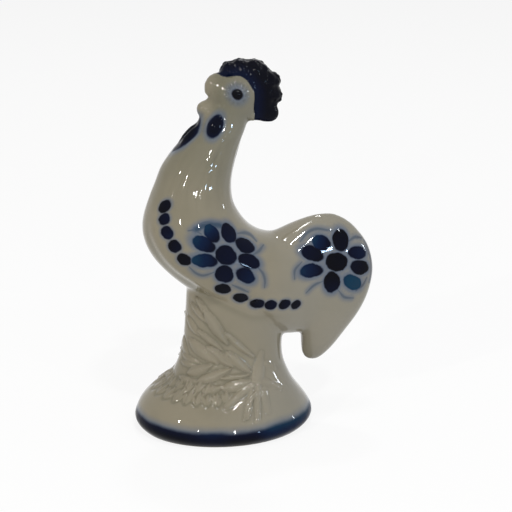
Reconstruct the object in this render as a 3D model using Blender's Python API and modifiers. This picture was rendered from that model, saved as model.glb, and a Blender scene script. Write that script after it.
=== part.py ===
"""Porcelain rooster figurine, slip-cast in one piece with a hollow body.

Metres, +Z up. The bird faces -X, its left side is -Y, and it stands on z = 0. Places in
the side view are measured along X from the centre of the oval base. The figure is then
shifted along X, so that the origin lies under the middle of its bounding box.
"""

import math
from collections import namedtuple

import bmesh
import bpy
from mathutils import Matrix, Vector
from mathutils.bvhtree import BVHTree

# Casting: the wall, the unglazed foot ring, its recess and the vent of the hollow body
WALL = 0.0040
FOOT_RING_WIDTH = 0.0050
FOOT_RECESS = 0.0020
VENT_DIAMETER = 0.0036

# Oval base
BASE_LENGTH = 0.0878
BASE_WIDTH = 0.0684
BASE_BELLY_HEIGHT = 0.0045
FOOT_UNDERCUT = 0.0032
FOOT_TRIM = 0.0030
FOOT_TRIM_INSET = 0.0083

# Foot of the neck
SHOULDER_X = -0.0159
SHOULDER_Z = 0.1140

# Head, crowing, with the comb as a thick crest and the face bare
HEAD_X = 0.0052
HEAD_Z = 0.1612
HEAD_LENGTH = 0.0235
HEAD_WIDTH = 0.0176
HEAD_HEIGHT = 0.0262
COMB_THICKNESS = 0.0112
COMB_ROUNDING = 0.0026
COMB_KNOB_DIAMETER = 0.0076
COMB_KNOB_SPREAD = 0.0032
EYE_DIAMETER = 0.0042
EYE_RING_DIAMETER = 0.0056
EYE_RING_RELIEF = 0.0007
BROW_RING_DIAMETER = 0.0096
BROW_RING_RELIEF = 0.0004
LOBE_LENGTH = 0.0128
LOBE_WIDTH = 0.0068
LOBE_RELIEF = 0.0018
WATTLE_LENGTH = 0.0182
WATTLE_WIDTH = 0.0080
WATTLE_THICKNESS = 0.0050
WATTLE_SPACING = 0.0046
WATTLE_OVERHANG = -0.0004

# Wings, legs and the foliage around them, all in relief
WING_EDGE_WIDTH = 0.0044
WING_EDGE_RELIEF = 0.0010
LEG_WIDTH = 0.0058
LEG_RELIEF = 0.0018
TOE_WIDTH = 0.0036
TOE_RELIEF = 0.0015
LEAF_RELIEF = 0.0013
STEM_WIDTH = 0.0024
STEM_RELIEF = 0.0008
RELIEF_ROOT = 0.0010

# Fineness of the cast surface
CLAY_VOXEL = 0.0008
CAVITY_VOXEL = 0.0018
GLAZE_PASSES = 3
SKIN_FACES = 10200
CAVITY_FACES = 1300
RING_POINTS = 48
RINGS_A_SPAN = 5

# A loft's section: its middle in the side view, the lean of its long axis above +X in
# degrees, its size along that axis and its size across the figure.
Section = namedtuple("Section", "x z lean length width")


def level(z, front, back, width):
    """A horizontal section that reaches from front to back in the side view."""
    return Section((front + back) / 2, z, 0.0, back - front, width)


def upright(x, low, high, width):
    """A vertical section across the tail, from its lower edge to its upper edge."""
    return Section(x, (low + high) / 2, 90.0, high - low, width)


def foot(z, inset):
    """The outline of the base at height z, drawn in by inset all round."""
    reach = BASE_LENGTH / 2 - inset
    return level(z, -reach, reach, BASE_WIDTH - 2 * inset)


def neck(ahead, up, length, width):
    """A level section of the neck, at shares of the way from the shoulders to the head."""
    x = SHOULDER_X + (HEAD_X - SHOULDER_X) * ahead
    return Section(x, SHOULDER_Z + (HEAD_Z - SHOULDER_Z) * up, 0.0, length, width)


MOUND = [
    foot(-FOOT_TRIM, FOOT_TRIM_INSET),
    foot(0.0, FOOT_UNDERCUT),
    foot(BASE_BELLY_HEIGHT, 0.0),
    level(0.0090, -0.0430, 0.0424, 0.0660),
    level(0.0145, -0.0400, 0.0386, 0.0600),
    level(0.0200, -0.0344, 0.0345, 0.0514),
    level(0.0260, -0.0262, 0.0314, 0.0430),
    level(0.0320, -0.0230, 0.0292, 0.0380),
    level(0.0380, -0.0212, 0.0284, 0.0350),
    level(0.0460, -0.0196, 0.0286, 0.0338),
    level(0.0540, -0.0190, 0.0290, 0.0338),
    level(0.0620, -0.0184, 0.0288, 0.0338),
    level(0.0700, -0.0180, 0.0285, 0.0334),
]

BODY = [
    neck(0.896, 0.932, 0.0200, 0.0165),
    neck(0.744, 0.784, 0.0228, 0.0182),
    neck(0.659, 0.678, 0.0234, 0.0202),
    neck(0.460, 0.572, 0.0280, 0.0228),
    neck(0.194, 0.360, 0.0334, 0.0272),
    neck(0.066, 0.170, 0.0356, 0.0305),
    neck(0.0, 0.0, 0.0392, 0.0350),
    Section(-0.0168, 0.1055, 12, 0.0446, 0.0405),
    Section(-0.0133, 0.0965, 17, 0.0470, 0.0440),
    Section(-0.0065, 0.0885, 27, 0.0456, 0.0455),
    Section(0.0035, 0.0815, 43, 0.0428, 0.0445),
    Section(0.0155, 0.0770, 65, 0.0400, 0.0410),
    Section(0.0270, 0.0755, 83, 0.0400, 0.0350),
    Section(0.0370, 0.0750, 90, 0.0430, 0.0270),
    Section(0.0470, 0.0740, 92, 0.0420, 0.0170),
]

RUMP = [
    upright(0.0120, 0.0560, 0.0950, 0.0380),
    upright(0.0200, 0.0480, 0.0946, 0.0370),
    upright(0.0265, 0.0448, 0.0966, 0.0345),
    upright(0.0320, 0.0440, 0.0991, 0.0310),
    upright(0.0380, 0.0438, 0.1014, 0.0265),
    upright(0.0440, 0.0420, 0.1030, 0.0225),
    upright(0.0500, 0.0420, 0.1034, 0.0205),
]

TAIL = [
    upright(0.0384, 0.0345, 0.0960, 0.0060),
    upright(0.0396, 0.0308, 0.1000, 0.0120),
    upright(0.0425, 0.0288, 0.1024, 0.0175),
    upright(0.0470, 0.0292, 0.1035, 0.0200),
    upright(0.0530, 0.0343, 0.1032, 0.0205),
    upright(0.0600, 0.0432, 0.0998, 0.0190),
    upright(0.0660, 0.0513, 0.0938, 0.0160),
    upright(0.0700, 0.0590, 0.0880, 0.0125),
    upright(0.0722, 0.0660, 0.0822, 0.0075),
    upright(0.0733, 0.0715, 0.0770, 0.0025),
]

# Head pieces are placed from the middle of the head, forward and up
HEAD = Vector((HEAD_X, 0, HEAD_Z))
UPPER_BEAK = [
    Section(HEAD_X - 0.0030, HEAD_Z + 0.0042, 90, 0.0130, 0.0116),
    Section(HEAD_X - 0.0086, HEAD_Z + 0.0048, 90, 0.0122, 0.0088),
    Section(HEAD_X - 0.0120, HEAD_Z + 0.0046, 90, 0.0096, 0.0066),
    Section(HEAD_X - 0.0141, HEAD_Z + 0.0040, 90, 0.0044, 0.0034),
]
LOWER_BEAK = [
    Section(HEAD_X - 0.0060, HEAD_Z - 0.0066, 90, 0.0110, 0.0124),
    Section(HEAD_X - 0.0122, HEAD_Z - 0.0063, 90, 0.0098, 0.0086),
    Section(HEAD_X - 0.0157, HEAD_Z - 0.0058, 90, 0.0074, 0.0060),
    Section(HEAD_X - 0.0178, HEAD_Z - 0.0056, 90, 0.0032, 0.0028),
]
COMB_OUTLINE = [
    (-0.0070, 0.0098),
    (-0.0062, 0.0126),
    (-0.0038, 0.0150),
    (-0.0010, 0.0162),
    (0.0024, 0.0170),
    (0.0062, 0.0162),
    (0.0096, 0.0166),
    (0.0122, 0.0158),
    (0.0142, 0.0140),
    (0.0154, 0.0116),
    (0.0188, 0.0104),
    (0.0208, 0.0070),
    (0.0206, 0.0034),
    (0.0216, -0.0002),
    (0.0210, -0.0028),
    (0.0192, -0.0040),
    (0.0200, -0.0070),
    (0.0196, -0.0098),
    (0.0178, -0.0116),
    (0.0140, -0.0120),
    (0.0100, -0.0112),
    (0.0058, -0.0108),
    (0.0040, 0.0000),
    (-0.0010, 0.0060),
]
COMB_KNOBS = [
    (-0.0030, 0.0124),
    (0.0024, 0.0140),
    (0.0088, 0.0136),
    (0.0124, 0.0104),
    (0.0168, 0.0064),
    (0.0176, 0.0004),
]
EYE = (0.0, 0.0024)
LOBE = ((-0.0088, -0.0069), (-0.0128, -0.0161))
WATTLE = ((-0.0177, -0.0097), (-0.0292, -0.0227))

# The wing's lower edge in the side view, from the shoulder back to the tail
WING_EDGE = [
    (-0.0330, 0.1130),
    (-0.0345, 0.1030),
    (-0.0322, 0.0955),
    (-0.0285, 0.0895),
    (-0.0230, 0.0838),
    (-0.0165, 0.0790),
    (-0.0085, 0.0726),
    (0.0030, 0.0665),
    (0.0120, 0.0622),
    (0.0210, 0.0614),
    (0.0320, 0.0624),
]

# Relief on the mound runs between points (degrees round from the front, height), and
# both sides carry it. The leaves spring from stems that start at the legs.
MOUND_AXIS_X = 0.0030
LEG = ((126, 0.0470), (125, 0.0400), (124, 0.0330), (118, 0.0255))
TOES = [
    ((113, 0.0270), (96, 0.0225), (79, 0.0182)),
    ((114, 0.0268), (103, 0.0205), (94, 0.0136)),
    ((120, 0.0262), (113, 0.0195), (107, 0.0130)),
    ((123, 0.0250), (121, 0.0200), (118, 0.0152)),
    ((122, 0.0268), (136, 0.0245), (148, 0.0212)),
    ((127, 0.0296), (138, 0.0304), (148, 0.0312)),
]
STEMS = [
    ((112, 0.0312), (84, 0.0350), (61, 0.0366), (36, 0.0385), (14, 0.0400)),
    ((110, 0.0340), (78, 0.0455), (56, 0.0520), (41, 0.0580), (33, 0.0640)),
    ((108, 0.0290), (84, 0.0262), (62, 0.0240), (38, 0.0232), (12, 0.0238)),
]
# Leaves: tip, foot and width
LEAVES = [
    ((32, 0.0668), (45, 0.0588), 0.0046),
    ((38, 0.0624), (70, 0.0477), 0.0062),
    ((26, 0.0588), (50, 0.0512), 0.0042),
    ((70, 0.0526), (119, 0.0372), 0.0042),
    ((30, 0.0532), (78, 0.0450), 0.0042),
    ((20, 0.0462), (61, 0.0368), 0.0056),
    ((41, 0.0464), (84, 0.0354), 0.0056),
    ((73, 0.0434), (111, 0.0318), 0.0048),
    ((24, 0.0306), (57, 0.0364), 0.0056),
    ((41, 0.0284), (81, 0.0344), 0.0054),
    ((63, 0.0296), (113, 0.0316), 0.0048),
    ((70, 0.0258), (112, 0.0294), 0.0052),
    ((8, 0.0420), (30, 0.0424), 0.0046),
    ((8, 0.0350), (34, 0.0388), 0.0050),
    ((3, 0.0500), (24, 0.0440), 0.0046),
    ((5, 0.0580), (24, 0.0520), 0.0046),
]
# Short undergrowth in a band low on the mound
TUFTS_A_SIDE = 9
TUFT_FIRST_TURN = 8
TUFT_LAST_TURN = 92
TUFT_HEIGHTS = (0.0222, 0.0250)
TUFT_LENGTH_TURN = 14
TUFT_DROP = 0.0042
TUFT_WIDTH = 0.0042

GLAZED_WHITE = (0.42, 0.39, 0.29, 1.0)
FIGURE_SHIFT = Vector((-(TAIL[-1].x - BASE_LENGTH / 2) / 2, 0, 0))


def spline(values, t):
    """Catmull-Rom value at t, where whole numbers fall on the given values."""
    last = len(values) - 1
    i = min(int(t), last - 1)
    a = values[max(i - 1, 0)]
    b = values[i]
    c = values[i + 1]
    d = values[min(i + 2, last)]
    f = t - i
    return b + 0.5 * f * ((c - a) + f * ((2 * a - 5 * b + 4 * c - d) + f * (3 * (b - c) + d - a)))


def along_spline(points, share):
    """The point at a share of the way from the first point to the last."""
    t = share * (len(points) - 1)
    return tuple(spline(values, t) for values in zip(*points))


def skin_rings(clay, rings):
    """Join rings of points into one closed skin, with a cap at each end."""
    loops = [[clay.verts.new(point) for point in ring] for ring in rings]
    skin = [clay.faces.new(loops[0]), clay.faces.new(loops[-1])]
    for lower, upper in zip(loops, loops[1:]):
        for k, corner in enumerate(lower):
            n = (k + 1) % len(lower)
            skin.append(clay.faces.new((corner, lower[n], upper[n], upper[k])))
    bmesh.ops.recalc_face_normals(clay, faces=skin)


def oval(middle, along, across, count):
    turns = [2 * math.pi * k / count for k in range(count)]
    return [middle + along * math.cos(a) + across * math.sin(a) for a in turns]


def add_loft(clay, sections, inset=0.0):
    """A closed skin through the sections, each drawn in by inset."""
    rings = []
    for step in range((len(sections) - 1) * RINGS_A_SPAN + 1):
        s = Section(*(spline(values, step / RINGS_A_SPAN) for values in zip(*sections)))
        lean = math.radians(s.lean)
        along = Vector((math.cos(lean), 0, math.sin(lean))) * max(s.length / 2 - inset, inset / 4)
        across = Vector((0, max(s.width / 2 - inset, inset / 4), 0))
        rings.append(oval(Vector((s.x, 0, s.z)), along, across, RING_POINTS))
    skin_rings(clay, rings)


def add_pad(clay, middle, along, outward, size):
    """An ellipsoid with its size along, across and outward."""
    outward = outward.normalized()
    along = (along - outward * along.dot(outward)).normalized()
    turn = Matrix((along, outward.cross(along), outward)).transposed().to_4x4()
    stretch = Matrix.Diagonal((size[0] / 2, size[1] / 2, size[2] / 2, 1))
    ball = bmesh.new()
    place = Matrix.Translation(middle) @ turn @ stretch
    bmesh.ops.create_uvsphere(ball, u_segments=24, v_segments=14, radius=1, matrix=place)
    mesh = bpy.data.meshes.new("pad")
    ball.to_mesh(mesh)
    ball.free()
    clay.from_mesh(mesh)
    bpy.data.meshes.remove(mesh)


def seen_from_side(surface, x, z, side):
    """The surface point and outward normal at a place in the side view."""
    spot = surface.ray_cast(Vector((x, side * BASE_LENGTH, z)), Vector((0, -side, 0)))
    if spot[0] is None:
        spot = surface.find_nearest(Vector((x, 0, z)))
    return spot[0], spot[1]


def seen_round_mound(surface, turn, z, side):
    """The surface point and outward normal, degrees round the mound from its front."""
    a = math.radians(turn)
    outward = Vector((-math.cos(a), side * math.sin(a), 0))
    start = Vector((MOUND_AXIS_X, 0, z)) + outward * BASE_LENGTH
    point, normal, _, _ = surface.ray_cast(start, -outward)
    return point, normal


def add_ridge(clay, spots, widths, reliefs):
    """A low ridge on the surface through spots, with its own width and relief at each."""
    rings = []
    for i, (point, normal) in enumerate(spots):
        before = spots[max(i - 1, 0)][0]
        after = spots[min(i + 1, len(spots) - 1)][0]
        sideways = normal.cross(after - before).normalized() * widths[i] / 2
        rings.append(oval(point - normal * RELIEF_ROOT, normal * (reliefs[i] + RELIEF_ROOT), sideways, 12))
    skin_rings(clay, rings)


def add_leaf(clay, surface, tip, root, width, side):
    """A leaf that lies on the mound, widest near its middle and pointed at both ends."""
    count = 11
    shares = [k / (count - 1) for k in range(count)]
    places = [(tip[0] + (root[0] - tip[0]) * s, tip[1] + (root[1] - tip[1]) * s) for s in shares]
    bulge = [max(math.sin(math.pi * s ** 0.9), 0) ** 0.8 + 0.05 for s in shares]
    spots = [seen_round_mound(surface, turn, z, side) for turn, z in places]
    add_ridge(clay, spots, [width * b for b in bulge], [LEAF_RELIEF * b for b in bulge])


def add_band(clay, surface, course, width, relief, side, count=15):
    """An even ridge round the mound along a course, tapered at its two ends."""
    shares = [k / (count - 1) for k in range(count)]
    spots = [seen_round_mound(surface, *along_spline(course, s), side) for s in shares]
    bulge = [min(1.0, 0.3 + 6 * s, 0.3 + 6 * (1 - s)) for s in shares]
    add_ridge(clay, spots, [width * b for b in bulge], [relief * b for b in bulge])


def add_wing_edge(clay, surface, side):
    count = 40
    shares = [k / (count - 1) for k in range(count)]
    spots = [seen_from_side(surface, *along_spline(WING_EDGE, s), side) for s in shares]
    bulge = [min(1.0, 0.15 + 3 * s, 0.15 + 3 * (1 - s)) for s in shares]
    add_ridge(clay, spots, [WING_EDGE_WIDTH * b for b in bulge], [WING_EDGE_RELIEF * b for b in bulge])


def add_eye(clay, surface, side):
    """An eyeball in a raised ring, inside the wider ring of the brow."""
    eye_x = HEAD_X + EYE[0]
    eye_z = HEAD_Z + EYE[1]
    ahead = Vector((1, 0, 0))
    point, normal = seen_from_side(surface, eye_x, eye_z, side)
    add_pad(clay, point, ahead, normal, (EYE_DIAMETER, EYE_DIAMETER, 2 * EYE_RING_RELIEF))
    for diameter, relief in ((EYE_RING_DIAMETER, EYE_RING_RELIEF), (BROW_RING_DIAMETER, BROW_RING_RELIEF)):
        for x, _, z in oval(Vector((eye_x, 0, eye_z)), ahead * diameter / 2, Vector((0, 0, diameter / 2)), 24):
            spot, turned = seen_from_side(surface, x, z, side)
            add_pad(clay, spot, ahead, turned, (diameter / 4, diameter / 4, 2 * relief))


def add_comb(clay):
    """A flat crest with a rounded edge, and knobs along its rim on both faces."""
    outline = bpy.data.curves.new("comb", "CURVE")
    outline.dimensions = "2D"
    outline.fill_mode = "BOTH"
    outline.extrude = COMB_THICKNESS / 2 - COMB_ROUNDING
    outline.bevel_depth = COMB_ROUNDING
    outline.bevel_resolution = 4
    outline.offset = -COMB_ROUNDING
    edge = outline.splines.new("BEZIER")
    edge.bezier_points.add(len(COMB_OUTLINE) - 1)
    edge.use_cyclic_u = True
    edge.resolution_u = 4
    for knot, (x, z) in zip(edge.bezier_points, COMB_OUTLINE):
        knot.co = (x, z, 0)
        knot.handle_left_type = "AUTO"
        knot.handle_right_type = "AUTO"
    guide = bpy.data.objects.new("comb", outline)
    bpy.context.scene.collection.objects.link(guide)
    mesh = bpy.data.meshes.new_from_object(guide.evaluated_get(bpy.context.evaluated_depsgraph_get()))
    mesh.transform(Matrix.Translation(HEAD) @ Matrix.Rotation(math.radians(90), 4, "X"))
    clay.from_mesh(mesh)
    bmesh.ops.remove_doubles(clay, verts=clay.verts[:], dist=0.00001)
    bpy.data.objects.remove(guide)
    bpy.data.meshes.remove(mesh)
    knob = (COMB_KNOB_DIAMETER, COMB_KNOB_DIAMETER, COMB_KNOB_DIAMETER)
    for x, z in COMB_KNOBS:
        for shift in (-COMB_KNOB_SPREAD, COMB_KNOB_SPREAD):
            add_pad(clay, HEAD + Vector((x, shift, z)), Vector((1, 0, 0)), Vector((0, 0, 1)), knob)


def add_wattle(clay, side):
    """One of the pair that hangs under the beak, its outer edge on the throat's outline."""
    top = HEAD + Vector((WATTLE[0][0], side * WATTLE_SPACING / 2, WATTLE[0][1]))
    low = HEAD + Vector((WATTLE[1][0], side * WATTLE_SPACING / 2, WATTLE[1][1]))
    hang = low - top
    forward = Vector((hang.z, 0, -hang.x)).normalized()
    middle = (top + low) / 2 + forward * (WATTLE_OVERHANG - WATTLE_WIDTH / 2)
    add_pad(clay, middle, hang, forward, (WATTLE_LENGTH, WATTLE_THICKNESS, WATTLE_WIDTH))


def add_lobe(clay, surface, side):
    """The ear lobe, flat on the side of the throat."""
    top, _ = seen_from_side(surface, HEAD_X + LOBE[0][0], HEAD_Z + LOBE[0][1], side)
    low, _ = seen_from_side(surface, HEAD_X + LOBE[1][0], HEAD_Z + LOBE[1][1], side)
    middle = (top + low) / 2
    point, normal = seen_from_side(surface, middle.x, middle.z, side)
    add_pad(clay, point, low - top, normal, (LOBE_LENGTH, LOBE_WIDTH, 2 * LOBE_RELIEF))


def shape_clay():
    clay = bmesh.new()
    add_loft(clay, MOUND)
    add_loft(clay, BODY)
    add_loft(clay, RUMP)
    add_loft(clay, TAIL)
    add_pad(clay, HEAD, Vector((1, 0, 0)), Vector((0, 0, 1)), (HEAD_LENGTH, HEAD_WIDTH, HEAD_HEIGHT))
    add_loft(clay, UPPER_BEAK)
    add_loft(clay, LOWER_BEAK)
    surface = BVHTree.FromBMesh(clay)
    add_comb(clay)
    for side in (-1, 1):
        add_wattle(clay, side)
        add_lobe(clay, surface, side)
        add_eye(clay, surface, side)
        add_wing_edge(clay, surface, side)
        add_band(clay, surface, LEG, LEG_WIDTH, LEG_RELIEF, side)
        for toe in TOES:
            add_band(clay, surface, toe, TOE_WIDTH, TOE_RELIEF, side)
        for stem in STEMS:
            add_band(clay, surface, stem, STEM_WIDTH, STEM_RELIEF, side)
        for tip, root, width in LEAVES:
            add_leaf(clay, surface, tip, root, width, side)
        for k in range(TUFTS_A_SIDE):
            turn = TUFT_FIRST_TURN + (TUFT_LAST_TURN - TUFT_FIRST_TURN) * k / (TUFTS_A_SIDE - 1)
            high = TUFT_HEIGHTS[k % 2]
            tip = (turn - TUFT_LENGTH_TURN / 2, high - TUFT_DROP)
            add_leaf(clay, surface, tip, (turn + TUFT_LENGTH_TURN / 2, high), TUFT_WIDTH, side)
    return clay


def shape_cavity():
    """The hollow of the cast: the lofts drawn in by the wall, from the base to the neck."""
    clay = bmesh.new()
    add_loft(clay, [foot(FOOT_RECESS + WALL, 0.0)] + MOUND[4:], WALL)
    add_loft(clay, BODY[3:-2], WALL)
    add_loft(clay, RUMP, WALL)
    add_loft(clay, TAIL[2:-3], WALL)
    return clay


def new_object(name, clay, group):
    bmesh.ops.translate(clay, verts=clay.verts[:], vec=FIGURE_SHIFT)
    mesh = bpy.data.meshes.new(name)
    clay.to_mesh(mesh)
    clay.free()
    piece = bpy.data.objects.new(name, mesh)
    group.objects.link(piece)
    return piece


def fuse(piece, voxel, faces):
    """Run the overlapping lofts together, soften them and thin the skin to its budget."""
    remesh = piece.modifiers.new("fuse", "REMESH")
    remesh.mode = "VOXEL"
    remesh.voxel_size = voxel
    soften = piece.modifiers.new("soften", "SMOOTH")
    soften.iterations = GLAZE_PASSES
    evaluated = piece.evaluated_get(bpy.context.evaluated_depsgraph_get())
    dense = 2 * len(evaluated.data.polygons)
    thin = piece.modifiers.new("thin", "DECIMATE")
    thin.ratio = min(1.0, faces / dense)
    thin.use_collapse_triangulate = True


def make_cutter(name, low, high, length, width, sides, group):
    """An upright cutter with an oval, round or square section between two heights."""
    clay = bmesh.new()
    stretch = Matrix.Diagonal((length / 2, width / 2, high - low, 1))
    place = Matrix.Translation((0, 0, (low + high) / 2)) @ stretch
    bmesh.ops.create_cone(clay, cap_ends=True, segments=sides, radius1=1, radius2=1, depth=1, matrix=place)
    return new_object(name, clay, group)


def subtract(piece, cutter, name):
    cut = piece.modifiers.new(name, "BOOLEAN")
    cut.operation = "DIFFERENCE"
    cut.object = cutter
    cutter.hide_render = True
    cutter.display_type = "WIRE"


def glazed_porcelain():
    material = bpy.data.materials.new("glazed porcelain")
    material.use_nodes = True
    shader = material.node_tree.nodes["Principled BSDF"]
    shader.inputs["Base Color"].default_value = GLAZED_WHITE
    shader.inputs["Roughness"].default_value = 0.08
    shader.inputs["Metallic"].default_value = 0.0
    return material


def main():
    for old in list(bpy.data.objects):
        bpy.data.objects.remove(old)
    figure = bpy.data.collections.new("porcelain rooster")
    cutters = bpy.data.collections.new("cutters")
    bpy.context.scene.collection.children.link(figure)
    bpy.context.scene.collection.children.link(cutters)

    rooster = new_object("rooster", shape_clay(), figure)
    fuse(rooster, CLAY_VOXEL, SKIN_FACES)
    cavity = new_object("cavity", shape_cavity(), cutters)
    fuse(cavity, CAVITY_VOXEL, CAVITY_FACES)

    ground_side = 3 * BASE_LENGTH
    ground = make_cutter("ground", -2 * FOOT_TRIM, 0, ground_side, ground_side, 4, cutters)
    recess_length = BASE_LENGTH - 2 * FOOT_UNDERCUT - 2 * FOOT_RING_WIDTH
    recess_width = BASE_WIDTH - 2 * FOOT_UNDERCUT - 2 * FOOT_RING_WIDTH
    recess = make_cutter("recess", -FOOT_TRIM, FOOT_RECESS, recess_length, recess_width, 64, cutters)
    vent_top = FOOT_RECESS + 2 * WALL
    vent = make_cutter("vent", -FOOT_TRIM, vent_top, VENT_DIAMETER, VENT_DIAMETER, 24, cutters)
    subtract(rooster, ground, "level the foot")
    subtract(rooster, recess, "recess the foot")
    subtract(rooster, cavity, "pour out the slip")
    subtract(rooster, vent, "open the vent")
    rooster.data.materials.append(glazed_porcelain())


main()
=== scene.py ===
import math
from collections import namedtuple

import bpy
import numpy as np
from mathutils import Matrix, Vector, noise
from mathutils.bvhtree import BVHTree


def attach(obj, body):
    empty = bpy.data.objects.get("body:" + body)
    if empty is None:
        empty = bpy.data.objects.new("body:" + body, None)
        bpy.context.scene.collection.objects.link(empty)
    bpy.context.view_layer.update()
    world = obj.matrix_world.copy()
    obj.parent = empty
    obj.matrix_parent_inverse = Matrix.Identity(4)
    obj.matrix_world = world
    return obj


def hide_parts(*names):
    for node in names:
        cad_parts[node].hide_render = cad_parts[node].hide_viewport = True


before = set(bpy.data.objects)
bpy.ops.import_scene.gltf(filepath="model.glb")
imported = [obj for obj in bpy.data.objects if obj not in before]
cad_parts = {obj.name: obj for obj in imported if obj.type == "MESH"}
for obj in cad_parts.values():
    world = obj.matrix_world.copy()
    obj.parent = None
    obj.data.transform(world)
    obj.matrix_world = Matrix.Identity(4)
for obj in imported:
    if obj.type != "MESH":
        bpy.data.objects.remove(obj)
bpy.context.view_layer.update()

MM = 0.001
# The model is laid out from the middle of the oval base, which lies ahead of the origin
BASE_X = -14.7

# ---------------------------------------------------------------- form, in millimetres

BASE_LENGTH = 87.8
BASE_WIDTH = 68.4
FOOT_UNDERCUT = 3.2
FOOT_RING_WIDTH = 5.0
FOOT_RECESS = 2.0
VENT_DIAMETER = 3.6
VENT_TOP = 7.5
GROUND_DEPTH = 10
HEAD_X = 5.2
HEAD_Z = 161.2
MOUND_AXIS_X = 3.0
RING_POINTS = 48
RINGS_A_SPAN = 4
CLAY_VOXEL = 1.06

Section = namedtuple("Section", "x z lean length width")
Dab = namedtuple("Dab", "x z length width turn shade fade")


def level(z, front, back, width):
    return Section((front + back) / 2, z, 0.0, back - front, width)


def upright(x, low, high, width):
    return Section(x, (low + high) / 2, 90.0, high - low, width)


def foot(z, inset):
    return level(z, inset - BASE_LENGTH / 2, BASE_LENGTH / 2 - inset, BASE_WIDTH - 2 * inset)


MOUND = [
    foot(-3.0, 8.3),
    foot(0.0, FOOT_UNDERCUT),
    foot(4.5, 0.0),
    level(9.0, -43.0, 42.4, 66.0),
    level(14.5, -40.0, 38.6, 60.0),
    level(20.0, -34.4, 34.5, 51.4),
    level(26.0, -26.2, 31.4, 43.0),
    level(32.0, -23.0, 29.2, 38.0),
    level(38.0, -21.2, 28.4, 35.0),
    level(46.0, -19.6, 28.6, 33.8),
    level(54.0, -19.0, 29.0, 33.8),
    level(62.0, -18.4, 28.8, 33.8),
    level(70.0, -18.0, 28.5, 33.4),
]
BODY = [
    Section(3.0, 158.0, 0, 20.0, 16.5),
    Section(-0.2, 151.0, 0, 22.8, 18.2),
    Section(-2.0, 146.0, 0, 23.4, 20.2),
    Section(-6.2, 141.0, 0, 28.0, 22.8),
    Section(-11.8, 131.0, 0, 33.4, 27.2),
    Section(-14.5, 122.0, 0, 35.6, 30.5),
    Section(-15.9, 114.0, 0, 39.2, 35.0),
    Section(-16.8, 105.5, 12, 44.6, 40.5),
    Section(-13.3, 96.5, 17, 47.0, 44.0),
    Section(-6.5, 88.5, 27, 45.6, 45.5),
    Section(3.5, 81.5, 43, 42.8, 44.5),
    Section(15.5, 77.0, 65, 40.0, 41.0),
    Section(27.0, 75.5, 83, 40.0, 35.0),
    Section(37.0, 75.0, 90, 43.0, 27.0),
    Section(47.0, 74.0, 92, 42.0, 17.0),
]
RUMP = [
    upright(12.0, 56.0, 95.0, 38.0),
    upright(20.0, 48.0, 94.6, 37.0),
    upright(26.5, 44.8, 96.6, 34.5),
    upright(32.0, 44.0, 99.1, 31.0),
    upright(38.0, 43.8, 101.4, 26.5),
    upright(44.0, 42.0, 103.0, 22.5),
    upright(50.0, 42.0, 103.4, 20.5),
]
TAIL = [
    upright(38.4, 34.5, 96.0, 6.0),
    upright(39.6, 30.8, 100.0, 12.0),
    upright(42.5, 28.8, 102.4, 17.5),
    upright(47.0, 29.2, 103.5, 20.0),
    upright(53.0, 34.3, 103.2, 20.5),
    upright(60.0, 43.2, 99.8, 19.0),
    upright(66.0, 51.3, 93.8, 16.0),
    upright(70.0, 59.0, 88.0, 12.5),
    upright(72.2, 66.0, 82.2, 7.5),
    upright(73.3, 71.5, 77.0, 2.5),
]
UPPER_BEAK = [
    Section(2.2, 165.4, 90, 13.0, 11.6),
    Section(-3.4, 166.0, 90, 12.2, 8.8),
    Section(-6.8, 165.8, 90, 9.6, 6.6),
    Section(-8.9, 165.2, 90, 4.4, 3.4),
]
LOWER_BEAK = [
    Section(-0.8, 154.6, 90, 11.0, 12.4),
    Section(-7.0, 154.9, 90, 9.8, 8.6),
    Section(-10.5, 155.4, 90, 7.4, 6.0),
    Section(-12.6, 155.6, 90, 3.2, 2.8),
]
HEAD_SIZE = (23.5, 17.6, 26.2)

# The comb's outline and the knobs on its rim, ahead of and above the middle of the head
COMB_THICKNESS = 11.2
COMB_ROUNDING = 2.6
COMB_OUTLINE = [
    (-7.0, 9.8), (-6.2, 12.6), (-3.8, 15.0), (-1.0, 16.2), (2.4, 17.0), (6.2, 16.2),
    (9.6, 16.6), (12.2, 15.8), (14.2, 14.0), (15.4, 11.6), (18.8, 10.4), (20.8, 7.0),
    (20.6, 3.4), (21.6, -0.2), (21.0, -2.8), (19.2, -4.0), (20.0, -7.0), (19.6, -9.8),
    (17.8, -11.6), (14.0, -12.0), (10.0, -11.2), (5.8, -10.8), (4.0, 0.0), (-1.0, 6.0),
]
COMB_INNER_EDGE = [
    (-6.5, 9.8), (-3.2, 9.8), (0.7, 10.1), (3.8, 8.3), (6.5, 4.7), (7.8, 1.4), (7.6, -3.7),
    (7.9, -7.3), (8.6, -12.4),
]
# Well outside the comb, so that the painted part runs over its rim
COMB_PAINT_OUTSIDE = [
    (14.0, -16.0), (26.0, -14.0), (28.0, 10.0), (14.0, 24.0), (-10.0, 20.0), (-9.2, 11.2),
]
COMB_KNOBS = [(-3.0, 12.4), (2.4, 14.0), (8.8, 13.6), (12.4, 10.4), (16.8, 6.4), (17.6, 0.4)]
COMB_KNOB_DIAMETER = 7.6
COMB_KNOB_SPREAD = 3.2
COMB_LUMP = 3.6
COMB_LUMP_RISE = 1.3
TOP = 178.85

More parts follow.
